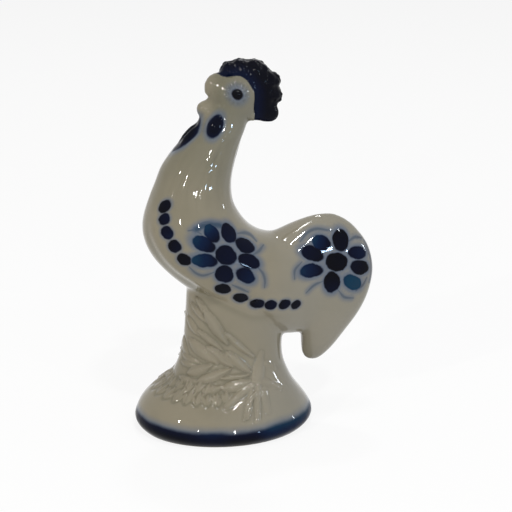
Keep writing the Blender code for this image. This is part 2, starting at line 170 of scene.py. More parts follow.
EYE = (4.6, 163.6)
EYE_RADIUS = 2.3
EYE_RISE = 0.75
EYELID_RISE = 0.30
WRINKLE_RISE = 0.42
LOBE = (-5.6, 149.6)
LOBE_LENGTH = 11.8
LOBE_WIDTH = 7.0
LOBE_LEAN = 62
LOBE_REACH = 7.0
LOBE_RISE = 1.5
WATTLE_TOP = (-12.5, 151.5)
WATTLE_LOW = (-24.0, 138.5)
WATTLE_WIDTH = 8.0
WATTLE_THICKNESS = 5.0
WATTLE_SPACING = 4.6
WATTLE_OVERLAP = 0.4

WING_EDGE = [
    (-33.0, 113.0), (-34.5, 103.0), (-32.2, 95.5), (-28.5, 89.5), (-23.0, 83.8), (-16.5, 79.0),
    (-8.5, 72.6), (3.0, 66.5), (12.0, 62.2), (21.0, 61.4), (32.0, 62.4),
]
WING_LIP = 0.9
WING_CREASE = 0.36
HACKLE_CREASE = [
    (-12.6, 131.5), (-9.6, 133.2), (-7.2, 134.9), (-4.3, 139.0), (-1.4, 142.0), (1.8, 145.6),
]
HACKLE_LIP = 0.28
HACKLE_FOLD = 0.30

# Relief round the mound lies below this height and ahead of this place
MOUND_TOP = 72
MOUND_BACK = 36
# Its courses: degrees from the front, height
LEG = [(129, 39.8), (125, 35.1), (121, 31.3), (117, 27.1)]
LEG_HALF = 3.2
LEG_RISE = 1.3
LEG_FURROW = 0.2
# Toes: course, half width and rise
TOES = [
    ([(110, 25.8), (92, 23.3), (77, 19.1)], 2.2, 1.2),
    ([(107, 23.7), (100, 20.5), (93, 13.4)], 1.0, 1.0),
    ([(110, 22.8), (103, 20.0), (96, 13.8)], 1.0, 1.1),
    ([(116, 25.7), (109, 18.2), (104, 11.4)], 1.9, 1.1),
    ([(121, 22.7), (119, 18.8), (117, 15.1)], 2.4, 0.5),
    ([(123, 26.9), (133, 25.2), (143, 22.2)], 1.9, 0.6),
    ([(135, 34.3), (143, 33.0), (147, 30.4)], 1.6, 0.3),
]
# Leaves: tip, root and width
LEAVES = [
    ((15, 64.7), (47, 55.6), 3.0),
    ((26, 68.0), (52, 57.0), 3.6),
    ((39, 62.7), (76, 45.8), 5.6),
    ((8, 57.0), (34, 49.0), 4.2),
    ((29, 52.0), (69, 43.0), 3.1),
    ((70, 52.1), (119, 38.4), 2.9),
    ((43, 44.5), (85, 35.1), 4.7),
    ((16, 46.4), (62, 36.6), 5.7),
    ((-8, 46.0), (20, 38.0), 4.6),
    ((68, 41.6), (97, 34.4), 2.6),
    ((74, 42.5), (112, 31.4), 4.1),
    ((8, 37.8), (39, 36.0), 3.0),
    ((9, 34.2), (36, 34.5), 2.5),
    ((24, 30.4), (54, 35.9), 4.7),
    ((39, 28.0), (82, 34.6), 4.5),
    ((66, 29.9), (111, 31.0), 2.1),
    ((69, 25.7), (112, 28.1), 5.3),
    ((15, 27.8), (44, 27.4), 2.8),
    ((29, 23.8), (45, 27.0), 3.0),
    ((51, 24.1), (73, 26.9), 3.0),
]
LEAF_VALLEY = 0.38
FURROW_WIDTH = 1.0
VEIN_SPACING = 1.9
VEIN_RELIEF = 0.07
# Rows of grass tufts: first turn, height, count, with a tuft every few degrees
TUFT_ROWS = [(4, 23.4, 6), (0, 20.0, 9)]
TUFT_STEP = 9.6
TUFT_SPLAY = 4.2
TUFT_HEIGHT = 4.2
BLADE_WIDTH = 2.0
BLADE_RISE = 0.75

# Feathers of the neck: spacing round it and how proud they stand
HACKLE_SPACING = 5.2
HACKLE_RELIEF = 0.10
NECK_RADIUS = 17
UNEVENNESS = 0.10
# The faces are finer from the foot of the mound to its top, and from the throat up
FINE_MOUND = (9, 70)
FINE_HEAD = 134
SMALL_HEAD = 146

# --------------------------------------------------- cobalt brushwork, in millimetres
# Each dab: place in the side view, length, width, turn above +X, shade, fade to its end
DOTS = [
    Dab(-29.4, 114.1, 7.4, 5.3, 48, 0.05, 0.05),
    Dab(-30.1, 108.6, 6.3, 5.5, 35, 0.20, 0.10),
    Dab(-29.2, 102.7, 6.6, 6.0, -37, 0.25, 0.10),
    Dab(-26.1, 96.7, 6.7, 6.2, -32, 0.10, 0.10),
    Dab(-22.0, 90.4, 6.9, 6.0, -15, 0.02, 0.05),
    Dab(-4.0, 75.4, 7.6, 6.3, -15, 0.02, 0.05),
    Dab(4.5, 70.0, 7.4, 5.8, -15, 0.05, 0.08),
    Dab(12.7, 66.2, 7.4, 5.4, -4, 0.10, 0.15),
    Dab(19.1, 65.2, 5.8, 5.4, 0, 0.16, 0.10),
    Dab(26.0, 64.7, 6.5, 5.3, 3, 0.12, 0.10),
    Dab(31.8, 63.4, 5.8, 4.7, -5, 0.08, 0.05),
]
WING_FLOWER = [
    Dab(-2.8, 92.2, 10.8, 9.0, -34, 0.22, 0.06),
    Dab(-9.1, 102.6, 9.6, 6.6, -58, 0.46, -0.30),
    Dab(-0.8, 101.4, 10.1, 8.0, -66, 0.26, 0.06),
    Dab(6.7, 95.0, 10.8, 7.3, -32, 0.20, 0.04),
    Dab(8.0, 88.2, 11.5, 7.3, -26, 0.22, 0.05),
    Dab(6.3, 81.8, 10.3, 6.6, -38, 0.34, 0.12),
    Dab(-3.8, 83.2, 9.5, 8.3, -58, 0.22, 0.06),
    Dab(-12.9, 90.2, 12.5, 6.8, -5, 0.50, -0.28),
    Dab(-12.9, 97.9, 11.8, 6.8, -28, 0.42, -0.30),
]
TAIL_FLOWER = [
    Dab(52.6, 81.9, 11.5, 9.2, -10, 0.02, 0.03),
    Dab(54.9, 91.9, 11.0, 8.2, -84, 0.08, 0.06),
    Dab(45.1, 91.5, 9.8, 7.4, -26, 0.42, -0.30),
    Dab(40.5, 87.0, 12.4, 7.0, -24, 0.18, -0.10),
    Dab(39.6, 79.1, 13.1, 7.0, -6, 0.42, -0.25),
    Dab(50.4, 72.1, 10.8, 8.4, -88, 0.10, 0.16),
    Dab(61.0, 70.9, 11.0, 7.3, -36, 0.80, 0.06),
    Dab(64.8, 78.0, 10.8, 7.0, -18, 0.10, -0.08),
    Dab(63.5, 85.2, 10.3, 6.6, -8, 0.32, 0.08),
]
# Courses of thin strokes of the brush tip round the two flowers
TENDRILS = [
    [(-16.4, 106.0), (-13.6, 107.2), (-10.4, 107.4), (-7.0, 106.3), (-4.6, 105.0)],
    [(-18.8, 104.4), (-17.0, 104.5), (-15.0, 103.2)],
    [(4.6, 100.2), (7.8, 99.5), (10.6, 98.0), (12.4, 96.0)],
    [(10.8, 90.8), (13.4, 91.6), (15.8, 93.0)],
    [(12.6, 84.6), (14.6, 82.0), (15.6, 78.8), (15.6, 76.0)],
    [(-18.8, 86.0), (-16.6, 83.8), (-13.4, 82.6), (-9.6, 84.0)],
    [(1.0, 77.0), (3.6, 75.6), (7.0, 73.6)],
    [(35.4, 93.6), (38.6, 96.4), (43.2, 97.8), (49.8, 96.6)],
    [(59.0, 91.0), (62.4, 92.4), (66.0, 91.4)],
    [(34.0, 83.4), (31.0, 81.0), (30.8, 77.8)],
    [(45.2, 72.8), (41.2, 71.6), (38.0, 69.2)],
    [(54.6, 66.6), (57.0, 63.8), (60.8, 62.8)],
    [(64.0, 66.8), (66.6, 68.6), (68.2, 71.2)],
]
TENDRIL_WIDTH = 1.2
# A broad smear of thin blue above the wing flower
SMEAR = [(-16.4, 104.7), (-13.4, 106.1), (-9.4, 106.4), (-4.6, 105.2)]
SMEAR_HALF = 1.3
TAIL_EDGE_STROKE = [(68.4, 89.0), (70.4, 84.0), (71.6, 79.0), (71.6, 74.0), (70.8, 70.0)]
TAIL_EDGE_WIDTH = 2.2
# Half lengths of the painted part of a wattle: along it, across it and outwards
WATTLE_PAINT = (9.3, 5.4, 6.2)
EYE_PAINT = 2.5
EYE_SLANT = 0.32


# ------------------------------------------------------------------- modelling helpers

def spline(values, t):
    """Catmull-Rom value at t, where whole numbers fall on the given values."""
    last = len(values) - 1
    i = min(int(t), last - 1)
    a, b, c, d = (values[min(max(i + k, 0), last)] for k in (-1, 0, 1, 2))
    f = t - i
    return b + 0.5 * f * ((c - a) + f * ((2 * a - 5 * b + 4 * c - d) + f * (3 * (b - c) + d - a)))


def along_spline(points, share):
    t = share * (len(points) - 1)
    return tuple(spline(values, t) for values in zip(*points))


def at(x, y, z):
    """A place measured from the middle of the base, in metres and in the row's frame."""
    return Vector(((x + BASE_X) * MM, y * MM, z * MM))


def start_clean():
    if bpy.context.object and bpy.context.object.mode != "OBJECT":
        bpy.ops.object.mode_set(mode="OBJECT")
    bpy.ops.object.select_all(action="DESELECT")


def settle(name):
    """Bring the piece back to the origin, with its place in its mesh, and name it."""
    piece = bpy.context.object
    bpy.ops.object.transform_apply(location=True, rotation=True, scale=True)
    piece.name = name
    piece.data.name = name
    return piece


def choose(piece):
    start_clean()
    bpy.context.view_layer.objects.active = piece
    piece.select_set(True)


def stretch(size, middle):
    bpy.ops.transform.resize(value=size, center_override=middle)


def tilt(degrees, middle):
    bpy.ops.transform.rotate(value=math.radians(degrees), orient_axis="Y", center_override=middle)


def sized(name, size, middle):
    """Stretch a fresh solid to its size, round its middle."""
    bpy.ops.object.mode_set(mode="EDIT")
    stretch(size, middle)
    bpy.ops.object.mode_set(mode="OBJECT")
    return settle(name)


def extrude_loft(name, sections):
    """An oval disc, extruded ring by ring through the sections and turned with them."""
    count = (len(sections) - 1) * RINGS_A_SPAN + 1
    rings = [Section(*(spline(v, k / RINGS_A_SPAN) for v in zip(*sections))) for k in range(count)]
    first = rings[0]
    middle = at(first.x, 0, first.z)
    start_clean()
    bpy.ops.mesh.primitive_circle_add(
        vertices=RING_POINTS, radius=MM / 2, fill_type="NGON", location=middle
    )
    bpy.ops.object.mode_set(mode="EDIT")
    stretch((first.length, first.width, 1), middle)
    tilt(first.lean, middle)
    for before, ring in zip(rings, rings[1:]):
        middle = at(ring.x, 0, ring.z)
        step = middle - at(before.x, 0, before.z)
        bpy.ops.mesh.extrude_region_move(TRANSFORM_OT_translate={"value": step})
        tilt(-before.lean, middle)
        stretch((ring.length / before.length, ring.width / before.width, 1), middle)
        tilt(ring.lean, middle)
    bpy.ops.mesh.select_all(action="SELECT")
    bpy.ops.mesh.normals_make_consistent(inside=False)
    bpy.ops.object.mode_set(mode="OBJECT")
    return settle(name)


def add_pad(name, middle, size, lean=0.0):
    """A ball pressed to its size, with its long axis leaning above +X."""
    start_clean()
    bpy.ops.mesh.primitive_uv_sphere_add(
        segments=32, ring_count=20, radius=MM / 2, location=middle
    )
    bpy.ops.object.mode_set(mode="EDIT")
    stretch(size, middle)
    tilt(lean, middle)
    bpy.ops.object.mode_set(mode="OBJECT")
    return settle(name)


def add_comb():
    """A flat crest with a rounded edge, from its outline in the side view."""
    outline = bpy.data.curves.new("comb", "CURVE")
    outline.dimensions = "2D"
    outline.fill_mode = "BOTH"
    outline.extrude = (COMB_THICKNESS / 2 - COMB_ROUNDING) * MM
    outline.bevel_depth = COMB_ROUNDING * MM
    outline.bevel_resolution = 4
    outline.offset = -COMB_ROUNDING * MM
    edge = outline.splines.new("BEZIER")
    edge.bezier_points.add(len(COMB_OUTLINE) - 1)
    edge.use_cyclic_u = True
    edge.resolution_u = 4
    for knot, (x, z) in zip(edge.bezier_points, COMB_OUTLINE):
        knot.co = (x * MM, z * MM, 0)
        knot.handle_left_type = "AUTO"
        knot.handle_right_type = "AUTO"
    comb = bpy.data.objects.new("comb", outline)
    bpy.context.scene.collection.objects.link(comb)
    choose(comb)
    bpy.ops.object.convert(target="MESH")
    comb = bpy.context.object
    comb.location = at(HEAD_X, 0, HEAD_Z)
    comb.rotation_euler = (math.radians(90), 0, 0)
    settle("comb")
    bpy.ops.object.mode_set(mode="EDIT")
    bpy.ops.mesh.select_all(action="SELECT")
    bpy.ops.mesh.remove_doubles(threshold=0.00001)
    bpy.ops.mesh.normals_make_consistent(inside=False)
    bpy.ops.object.mode_set(mode="OBJECT")
    return comb


def apply_all(piece):
    choose(piece)
    for modifier in list(piece.modifiers):
        bpy.ops.object.modifier_apply(modifier=modifier.name)


def join(pieces, name):
    start_clean()
    for piece in pieces:
        piece.select_set(True)
    bpy.context.view_layer.objects.active = pieces[0]
    bpy.ops.object.join()
    pieces[0].name = name
    pieces[0].data.name = name
    return pieces[0]


def points_of(piece):
    """Vertex places in millimetres from the middle of the base, and vertex normals."""
    mesh = piece.data
    places = np.empty(3 * len(mesh.vertices))
    mesh.vertices.foreach_get("co", places)
    places = places.reshape(-1, 3) / MM
    places[:, 0] -= BASE_X
    normals = np.empty(3 * len(mesh.vertices), dtype=np.float32)
    mesh.vertex_normals.foreach_get("vector", normals)
    return places, normals.reshape(-1, 3).astype(float)


def set_points(piece, places):
    moved = places.copy()
    moved[:, 0] += BASE_X
    piece.data.vertices.foreach_set("co", (moved * MM).ravel())
    piece.data.update()


def ramp(values, low, high):
    """Smooth rise from 0 at low to 1 at high."""
    share = np.clip((values - low) / (high - low), 0, 1)
    return share * share * (3 - 2 * share)


def swell(values, middle, width):
    """A soft bump of height 1 round one value."""
    return np.exp(-(((values - middle) / width) ** 2))


def dome(across, power=1.0):
    return np.clip(1 - across * across, 0, 1) ** power


def course_distance(places, course):
    """Nearest point on a course: share of the way, distance, the side and the whole length."""
    best = np.full(len(places), 1e9)
    share = np.zeros(len(places))
    aside = np.zeros(len(places))
    course = np.asarray(course, float)
    lengths = np.linalg.norm(np.diff(course, axis=0), axis=1)
    total = lengths.sum()
    walked = 0.0
    for a, b, length in zip(course, course[1:], lengths):
        ahead = (b - a) / length
        offset = places - a
        t = np.clip(offset @ ahead, 0, length)
        gap = offset - t[:, None] * ahead
        distance = np.linalg.norm(gap, axis=1)
        nearer = distance < best
        best = np.where(nearer, distance, best)
        share = np.where(nearer, (walked + t) / total, share)
        if course.shape[1] == 2:
            aside = np.where(nearer, ahead[0] * gap[:, 1] - ahead[1] * gap[:, 0], aside)
        walked += length
    return share, best, aside, total


# --------------------------------------------------------------------------- the cast

def cast_rooster():
    """The whole figure from overlapping lofts, run together like slip."""
    head = at(HEAD_X, 0, HEAD_Z)
    pieces = [
        extrude_loft("mound", MOUND),
        extrude_loft("body", BODY),
        extrude_loft("rump", RUMP),
        extrude_loft("tail", TAIL),
        extrude_loft("upper_beak", UPPER_BEAK),
        extrude_loft("lower_beak", LOWER_BEAK),
        add_pad("head", head, HEAD_SIZE),
        add_comb(),
    ]
    for x, z in COMB_KNOBS:
        for side in (-1, 1):
            middle = at(HEAD_X + x, side * COMB_KNOB_SPREAD, HEAD_Z + z)
            pieces.append(add_pad("knob", middle, (COMB_KNOB_DIAMETER,) * 3))
    top = Vector(WATTLE_TOP)
    low = Vector(WATTLE_LOW)
    hang = (low - top).normalized()
    forward = Vector((hang.y, -hang.x))
    if forward.x > 0:
        forward = -forward
    middle = (top + low) / 2 - forward * (WATTLE_WIDTH / 2 + WATTLE_OVERLAP)
    lean = math.degrees(math.atan2(hang.y, hang.x))
    for side in (-1, 1):
        spot = at(middle.x, side * WATTLE_SPACING / 2, middle.y)
        size = ((low - top).length + 1.0, WATTLE_THICKNESS, WATTLE_WIDTH)
        pieces.append(add_pad("wattle", spot, size, lean))
    rooster = join(pieces, "rooster_cast")
    fuse = rooster.modifiers.new("fuse", "REMESH")
    fuse.mode = "VOXEL"
    fuse.voxel_size = CLAY_VOXEL * MM
    apply_all(rooster)
    refine(rooster)
    return rooster


def refine(rooster):
    """Finer faces where the cast carries relief: the mound and the head."""
    places, _ = points_of(rooster)
    x, z = places[:, 0], places[:, 2]
    fine = ((z > FINE_MOUND[0]) & (z < FINE_MOUND[1]) & (x < MOUND_BACK)) | (z > FINE_HEAD)
    choose(rooster)
    bpy.ops.object.mode_set(mode="EDIT")
    bpy.ops.mesh.select_all(action="DESELECT")
    bpy.ops.object.mode_set(mode="OBJECT")
    rooster.data.vertices.foreach_set("select", fine)
    bpy.ops.object.mode_set(mode="EDIT")
    bpy.ops.mesh.select_mode(type="VERT")
    bpy.ops.mesh.select_mode(type="FACE")
    bpy.ops.mesh.subdivide(number_cuts=1, smoothness=0)
    bpy.ops.object.mode_set(mode="OBJECT")


def soften(rooster, weights, passes):
    """Smooth the skin by a weight at each point."""
    group = rooster.vertex_groups.new(name="soft")
    for tenth in range(1, 11):
        chosen = np.nonzero(np.round(weights * 10) == tenth)[0]
        if len(chosen):
            group.add(chosen.tolist(), tenth / 10, "REPLACE")
    smooth = rooster.modifiers.new("soften", "SMOOTH")
    smooth.factor = 0.5
    smooth.iterations = passes
    smooth.vertex_group = "soft"
    apply_all(rooster)
    rooster.vertex_groups.remove(rooster.vertex_groups["soft"])


def surface_of(rooster):
    places, _ = points_of(rooster)
    faces = [tuple(face.vertices) for face in rooster.data.polygons]
    return BVHTree.FromPolygons([tuple(p) for p in places], faces)


def round_mound(surface, turn, z):
    """Surface point at degrees round the mound from its front, on the near side."""
    a = math.radians(turn)
    outward = Vector((-math.cos(a), -math.sin(a), 0))
    start = Vector((MOUND_AXIS_X, 0, z)) + outward * BASE_LENGTH
    return surface.ray_cast(start, -outward)[0]


def side_view(surface, x, z):
    """Surface point and normal at a place in the side view, on the near side."""
    spot, normal, _, _ = surface.ray_cast(Vector((x, -BASE_LENGTH, z)), Vector((0, 1, 0)))
    if spot is None:
        spot, normal, _, _ = surface.find_nearest(Vector((x, 0, z)))
    return spot, normal


def mirrored(places):
    near = places.copy()
    near[:, 1] = -np.abs(near[:, 1])
    return near


def lobe_reach(surface, near):
    """Distance from the middle of the ear lobe, 1 at its egg-shaped edge."""
    spot, _ = side_view(surface, *LOBE)
    offset = near - np.array(spot)
    lean = math.radians(LOBE_LEAN)
    along = offset @ np.array((math.cos(lean), 0, math.sin(lean)))
    across = offset @ np.array((-math.sin(lean), 0, math.cos(lean)))
    fuller = 1 - 0.12 * np.clip(2 * along / LOBE_LENGTH, -1, 1)
    reach = np.hypot(2 * along / LOBE_LENGTH, 2 * across / (LOBE_WIDTH * fuller))
    return np.hypot(reach, offset[:, 1] / LOBE_REACH)


def mound_relief(surface, spots):
    """Leaves, tufts, leg and toes, laid over each other round the mound."""
    relief = np.zeros(len(spots))

    def press(course, half_at, body_at, depth=LEAF_VALLEY):
        """Lay one leaf, leg or toe over what is there, with a furrow round it."""
        points = [round_mound(surface, *along_spline(course, k / 14)) for k in range(15)]
        share, gap, _, total = course_distance(spots, points)
        half = half_at(share)
        across = gap / half
        outside = np.maximum(gap - half, 0)
        furrow = depth * swell(outside, 0, FURROW_WIDTH)
        sunk = np.maximum(relief - furrow, np.minimum(relief, -depth))
        near_it = np.where(outside < 3 * FURROW_WIDTH, sunk, relief)
        body = body_at(share, np.minimum(across, 1), share * total, gap)
        relief[:] = np.where(across < 1, np.maximum(body, near_it), near_it)

    def leaf(tip, root, width, rise):
        # The leaves fade out towards the front of the mound
        front = min(1.0, 0.32 + max(tip[0], 0) / 40)

        def half_at(share):
            return 0.5 * width * np.clip(np.sin(np.pi * share ** 0.8), 0, 1) ** 0.7 + 0.05

        def body_at(share, across, walk, gap):
            blade = rise * (1.0 - 0.3 * share) * (1 - across) ** 0.62
            wave = np.cos(2 * np.pi * (walk - 0.9 * gap) / VEIN_SPACING)
            return front * (blade + VEIN_RELIEF * wave * (1 - across))

        press([tip, root], half_at, body_at)

    for tip, root, width in LEAVES:
        leaf(tip, root, width, 0.40 + 0.17 * width)
    for first, high, count in TUFT_ROWS:
        for k in range(count):
            turn = first + TUFT_STEP * k
            for splay in (-1, 1, 0):
                sway = 1.8 * math.sin(7 * k + first)
                reach = TUFT_HEIGHT * (1.0 - 0.3 * abs(splay) + 0.2 * math.sin(5 * k + splay))
                tip = (turn + sway + splay * TUFT_SPLAY, high + reach)
                leaf(tip, (turn + splay * 0.8, high - 0.8), BLADE_WIDTH, BLADE_RISE)
    press(
        LEG,
        lambda share: LEG_HALF * (0.5 + 0.5 * ramp(share, 0.0, 0.6)),
        lambda share, across, walk, gap: LEG_RISE * ramp(share, -0.1, 0.8) * dome(across),
        LEG_FURROW,
    )
    for course, half, rise in TOES:
        def knuckled(share, across, walk, gap, rise=rise):
            joints = 1 + 0.12 * np.cos(5 * np.pi * share)
            return rise * (1 - 0.5 * share) * joints * dome(across)

        press(course, lambda share, half=half: half * (1 - 0.3 * share), knuckled, 0.24 * rise)
    return relief


def edge_relief(places, normals):
    """The wing stands proud above its lower edge, and the neck feathers end in a fold."""
    side_on = ramp(np.abs(normals[:, 1]), 0.15, 0.5)
    flat = places[:, [0, 2]]
    edge = [along_spline(WING_EDGE, k / 60) for k in range(61)]
    share, gap, aside, _ = course_distance(flat, edge)
    ends = np.clip(np.minimum(7 * share, 2.3 * (1 - share)), 0, 1)
    lip = WING_LIP * swell(aside, 0.4, 2.2) - WING_CREASE * swell(aside, -3.2, 2.5)
    relief = np.where((gap < 12) & (places[:, 2] > 55), lip * ends, 0)

    crease = [along_spline(HACKLE_CREASE, k / 30) for k in range(31)]
    share, gap, aside, _ = course_distance(flat, crease)
    ends = np.clip(np.minimum(share, 1 - share) * 4, 0, 1)
    fold = HACKLE_LIP * swell(aside, 1.2, 1.8) - HACKLE_FOLD * swell(aside, -0.9, 1.6)
    return side_on * (relief + np.where((gap < 7) & (places[:, 2] > 120), fold * ends, 0))


def face_relief(surface, near):
    """Eye, its wrinkled ring and the ear lobe."""
    eye, _ = side_view(surface, *EYE)
    from_eye = near - np.array(eye)
    reach = np.linalg.norm(from_eye, axis=1)
    around = np.arctan2(from_eye[:, 2], from_eye[:, 0])
    wrinkle = np.cos(11 * around + 0.6 * np.sin(3 * around))
    return (
        EYE_RISE * dome(np.minimum(reach / EYE_RADIUS, 1))
        + EYELID_RISE * swell(reach, 3.3, 0.7)
        + WRINKLE_RISE * wrinkle * swell(reach, 4.4, 1.0)
        + LOBE_RISE * dome(np.minimum(lobe_reach(surface, near), 1), 0.8)
    )


def comb_relief(places, comb, rim):
    """Cobbles over the comb, strongest at its rim, with a smooth block at its lower back."""
    cobbles = np.zeros(len(places))
    for i in np.nonzero(comb > -0.5)[0]:
        distances, _ = noise.voronoi(Vector(places[i]) / COMB_LUMP)
        cobbles[i] = 0.38 - distances[0]
    block = ramp(places[:, 2] - HEAD_Z, -6.5, -2.5)
    edge = 0.3 + 0.7 * ramp(-rim, -6.5, -2.0)
    return COMB_LUMP_RISE * cobbles * ramp(comb, 0.0, 1.6) * edge * block


def neck_relief(near):
    """Shallow feathers that run down the neck."""
    stations = sorted(BODY[1:9], key=lambda section: section.z)
    heights = [section.z for section in stations]
    spine = np.interp(near[:, 2], heights, [section.x for section in stations])
    round_it = np.arctan2(-near[:, 1], spine - near[:, 0]) * NECK_RADIUS / HACKLE_SPACING
    waver = np.array([noise.noise(Vector((p[0] / 9, p[1] / 9, p[2] / 22))) for p in near])
    feathers = np.cos(2 * np.pi * (round_it + 0.8 * waver)) * (0.6 + 0.8 * waver)
    span = ramp(near[:, 2], 106, 116) * ramp(-near[:, 2], -148, -140)
    return HACKLE_RELIEF * feathers * span


def carve(rooster):
    """The small forms of mound, wing, head and neck, as moves of the skin."""
    places, normals = points_of(rooster)
    near = mirrored(places)
    surface = surface_of(rooster)
    comb = comb_depth(places)
    rim = comb_rim(places)
    height = np.zeros(len(places))
    low = places[:, 2] < MOUND_TOP
    height[low] = mound_relief(surface, near[low]) * ramp(places[low][:, 2], 10.5, 13.5)
    height += edge_relief(places, normals) + face_relief(surface, near)
    height += comb_relief(places, comb, rim) + neck_relief(near)
    # A cast is never quite even
    slow = np.array([noise.noise(Vector(p) / 17) for p in near])
    height += UNEVENNESS * slow * ramp(places[:, 2], 10, 20)
    places += normals * height[:, None]
    # The crest narrows to its rim, and stays below the top of the cast
    crest = (comb > 0) & (rim < 7)
    places[crest, 1] *= 0.70 + 0.30 * ramp(rim[crest], 0, 6.5)
    high = places[:, 2] > TOP - 5
    places[high, 2] = TOP - 5 + (places[high, 2] - TOP + 5) * 0.93
    set_points(rooster, places)
    return height


def polygon_depth(flat, outline):
    """Depth inside a closed outline, negative outside."""
    closed = list(outline) + [outline[0]]
    _, gap, _, _ = course_distance(flat, closed)
    inside = np.zeros(len(flat), dtype=bool)
    for (x0, z0), (x1, z1) in zip(closed, closed[1:]):
        crosses = (z0 > flat[:, 1]) != (z1 > flat[:, 1])
        edge_x = (x1 - x0) * (flat[:, 1] - z0) / np.where(z1 == z0, 1e-9, z1 - z0) + x0
        inside ^= crosses & (flat[:, 0] < edge_x)
    return np.where(inside, gap, -gap)


def comb_depth(places):
    """Depth of a place inside the part of the comb that is painted, from its inner edge."""
    flat = places[:, [0, 2]] - np.array((HEAD_X, HEAD_Z))
    inner = [along_spline(COMB_INNER_EDGE, k / 40) for k in range(41)]
    return polygon_depth(flat, inner + COMB_PAINT_OUTSIDE)


def comb_rim(places):
    """How far inside the comb's outer edge a place lies."""
    flat = places[:, [0, 2]] - np.array((HEAD_X, HEAD_Z))
    return polygon_depth(flat, COMB_OUTLINE)


def keep_field(rooster, name, values):
    """Keep one value at each point with the mesh, for the material to read."""
    layer = rooster.data.attributes.new(name, "FLOAT", "POINT")
    layer.data.foreach_set("value", values.astype(np.float32))


def record_depths(rooster):
    """Keep what the paint follows with the mesh, in millimetres."""
    places, _ = points_of(rooster)
    near = mirrored(places)
    surface = surface_of(rooster)
    fields = {
        "comb_depth": comb_depth(places),
        "lobe_depth": (1 - lobe_reach(surface, near)) * LOBE_WIDTH / 2,
    }

    top = np.array((WATTLE_TOP[0], 0, WATTLE_TOP[1]))
    low = np.array((WATTLE_LOW[0], 0, WATTLE_LOW[1]))
    hang = (low - top) / np.linalg.norm(low - top)
    inward = np.array((hang[2], 0, -hang[0]))
    inward = inward * (1 if inward[0] > 0 else -1)
    offset = places - (top + low) / 2
    parts = np.stack([offset @ hang, offset @ inward, places[:, 1]], axis=1)
    reach = np.linalg.norm(parts / WATTLE_PAINT, axis=1)
    fields["wattle_depth"] = (1 - reach) * 5.0 + 0.5

    eye, _ = side_view(surface, *EYE)
    offset = near - np.array(eye)
    slant = (offset[:, 0] - offset[:, 2]) / math.sqrt(2)
    fields["eye_depth"] = EYE_PAINT - np.sqrt((offset ** 2).sum(axis=1) - EYE_SLANT * slant ** 2)

    # Thin strokes keep their signed distance across, so that a coarse mesh draws them true
    aside = np.full(len(near), 9.0)
    nearest = np.full(len(near), 99.0)
    for course in TENDRILS + [TAIL_EDGE_STROKE]:
        half = (TAIL_EDGE_WIDTH if course is TAIL_EDGE_STROKE else TENDRIL_WIDTH) / 2
        points = [side_view(surface, *along_spline(course, k / 16))[0] for k in range(17)]
        share, gap, _, _ = course_distance(near, points)
        flat = [(p.x, p.z) for p in points]
        _, _, across, _ = course_distance(near[:, [0, 2]], flat)
        taper = 0.45 + 0.75 * np.sin(np.pi * np.clip(share, 0.02, 0.98)) ** 0.7
        closer = gap < nearest
        aside = np.where(closer, across / (half * taper), aside)
        nearest = np.where(closer, gap, nearest)
    fields["stroke_aside"] = aside
    fields["stroke_gap"] = nearest

    # A thin blue wash spreads round every touch of the brush
    wash = 0.75 * ramp(-nearest, -3.2, -0.3)
    for dab in DOTS + WING_FLOWER + TAIL_FLOWER:
        spot = dab_on(surface, dab)
        offset = near * MM + np.array((BASE_X * MM, 0, 0)) - np.array(spot["Middle"])
        reach = np.linalg.norm([offset @ np.array(spot[name]) for name in DAB_DIRECTIONS], axis=0)
        beyond = (reach - 1) * dab.width / 2
        spread, strength = (1.5, 0.7) if dab in DOTS else (3.0, 1.0)
        wash = np.maximum(wash, strength * ramp(-beyond, -spread, 0))
    smear = [side_view(surface, *place)[0] for place in SMEAR]
    _, gap, _, _ = course_distance(near, smear)
    fields["smear"] = ramp(-gap, -SMEAR_HALF - 0.7, -SMEAR_HALF + 0.8)
    fields["wash"] = np.maximum(wash, ramp(-gap, -4.2, -1.2))
    for name, values in fields.items():
        keep_field(rooster, name, values)


def cut_foot(rooster):
    """Level the foot, recess it inside its ring and open the vent."""
    start_clean()
    middle = at(0, 0, -GROUND_DEPTH / 2)
    bpy.ops.mesh.primitive_cube_add(size=1, location=middle)
    size = (3 * BASE_LENGTH * MM, 3 * BASE_LENGTH * MM, GROUND_DEPTH * MM)
    cutters = [sized("ground", size, middle)]
    inset = 2 * (FOOT_UNDERCUT + FOOT_RING_WIDTH)
    for name, top, length, width in (
        ("recess", FOOT_RECESS, BASE_LENGTH - inset, BASE_WIDTH - inset),
        ("vent", VENT_TOP, VENT_DIAMETER, VENT_DIAMETER),
    ):
        start_clean()
        middle = at(0, 0, (top - 3) / 2)
        bpy.ops.mesh.primitive_cylinder_add(
            vertices=64, radius=MM / 2, depth=(top + 3) * MM, location=middle
        )
        cutters.append(sized(name, (length, width, 1), middle))
    for cutter in cutters:
        cut = rooster.modifiers.new(cutter.name, "BOOLEAN")
        cut.operation = "DIFFERENCE"
        cut.solver = "EXACT"
        cut.object = cutter
    apply_all(rooster)
    for cutter in cutters:
        bpy.data.objects.remove(cutter)


def model_rooster():
    rooster = cast_rooster()
    z = points_of(rooster)[0][:, 2]
    soften(rooster, np.where(z > SMALL_HEAD, 0.35, np.where(z > FINE_HEAD, 0.6, 1.0)), 14)
    keep_field(rooster, "relief", carve(rooster))
    places, _ = points_of(rooster)
    mound = (places[:, 2] < MOUND_TOP) & (places[:, 0] < MOUND_BACK)
    soften(rooster, np.where(mound, 0.8, 0.5), 2)
    cut_foot(rooster)
    record_depths(rooster)
    choose(rooster)
    bpy.ops.object.shade_smooth_by_angle(angle=math.radians(50))
    return rooster


# ------------------------------------------------------------------------- the finish

